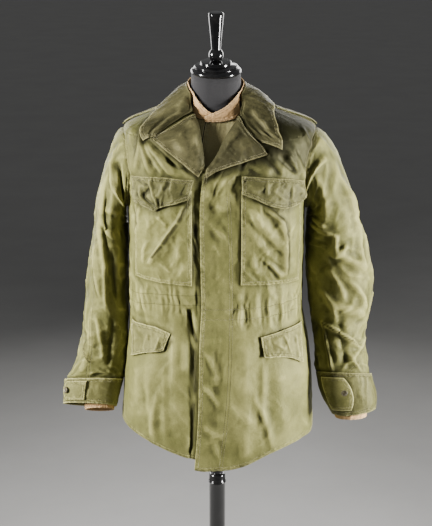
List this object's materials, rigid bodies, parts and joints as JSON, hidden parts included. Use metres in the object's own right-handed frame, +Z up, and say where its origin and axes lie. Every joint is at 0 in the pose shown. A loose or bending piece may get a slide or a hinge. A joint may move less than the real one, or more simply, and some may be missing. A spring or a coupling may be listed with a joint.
{
  "type": "field jacket on dress form stand",
  "caption": "Worn olive cotton field jacket with turned-back lapels, flap pockets and a tan-collared liner, on a limbless dress form with a turned neck cap and a pole stand.",
  "frame": {"origin": "on the floor, in the middle of the stand base's flat underside", "axes": "+Z up along the stand, -Y the jacket's front, +X the wearer's left"},
  "size_m": [0.7549, 0.36, 1.5606],
  "materials": {
    "olive_sateen": "worn cotton sateen, soft sheen",
    "olive_sateen_collar": "worn cotton sateen, darker and rubbed",
    "liner_poplin": "matt cotton",
    "tan_liner_wool": "matt brushed cotton",
    "form_jersey": "matt knitted cover",
    "black_lacquer": "gloss",
    "button_horn": "satin"
  },
  "bodies": {
    "root": {"back": "olive_sateen", "chest_flap_left": "olive_sateen", "chest_flap_right": "olive_sateen", "chest_pocket_left": "olive_sateen", "chest_pocket_right": "olive_sateen", "collar": "olive_sateen_collar", "cuff_button_left": "button_horn", "cuff_button_right": "button_horn", "cuff_left": "olive_sateen", "cuff_right": "olive_sateen", "cuff_tab_left": "olive_sateen", "cuff_tab_right": "olive_sateen", "finial": "black_lacquer", "form_torso": "form_jersey", "front_left": "olive_sateen", "front_right": "olive_sateen", "inner_rod": "black_lacquer", "lapel_left": "olive_sateen_collar", "lapel_right": "olive_sateen_collar", "liner_collar": "tan_liner_wool", "liner_cuff_left": "tan_liner_wool", "liner_cuff_right": "tan_liner_wool", "liner_front_left": "liner_poplin", "liner_front_right": "liner_poplin", "lower_flap_left": "olive_sateen", "lower_flap_right": "olive_sateen", "neck_cap": "black_lacquer", "shoulder_strap_left": "olive_sateen", "shoulder_strap_right": "olive_sateen", "sleeve_left": "olive_sateen", "sleeve_right": "olive_sateen", "stand_base": "black_lacquer", "stand_tube": "black_lacquer"}
  },
  "joints": []
}
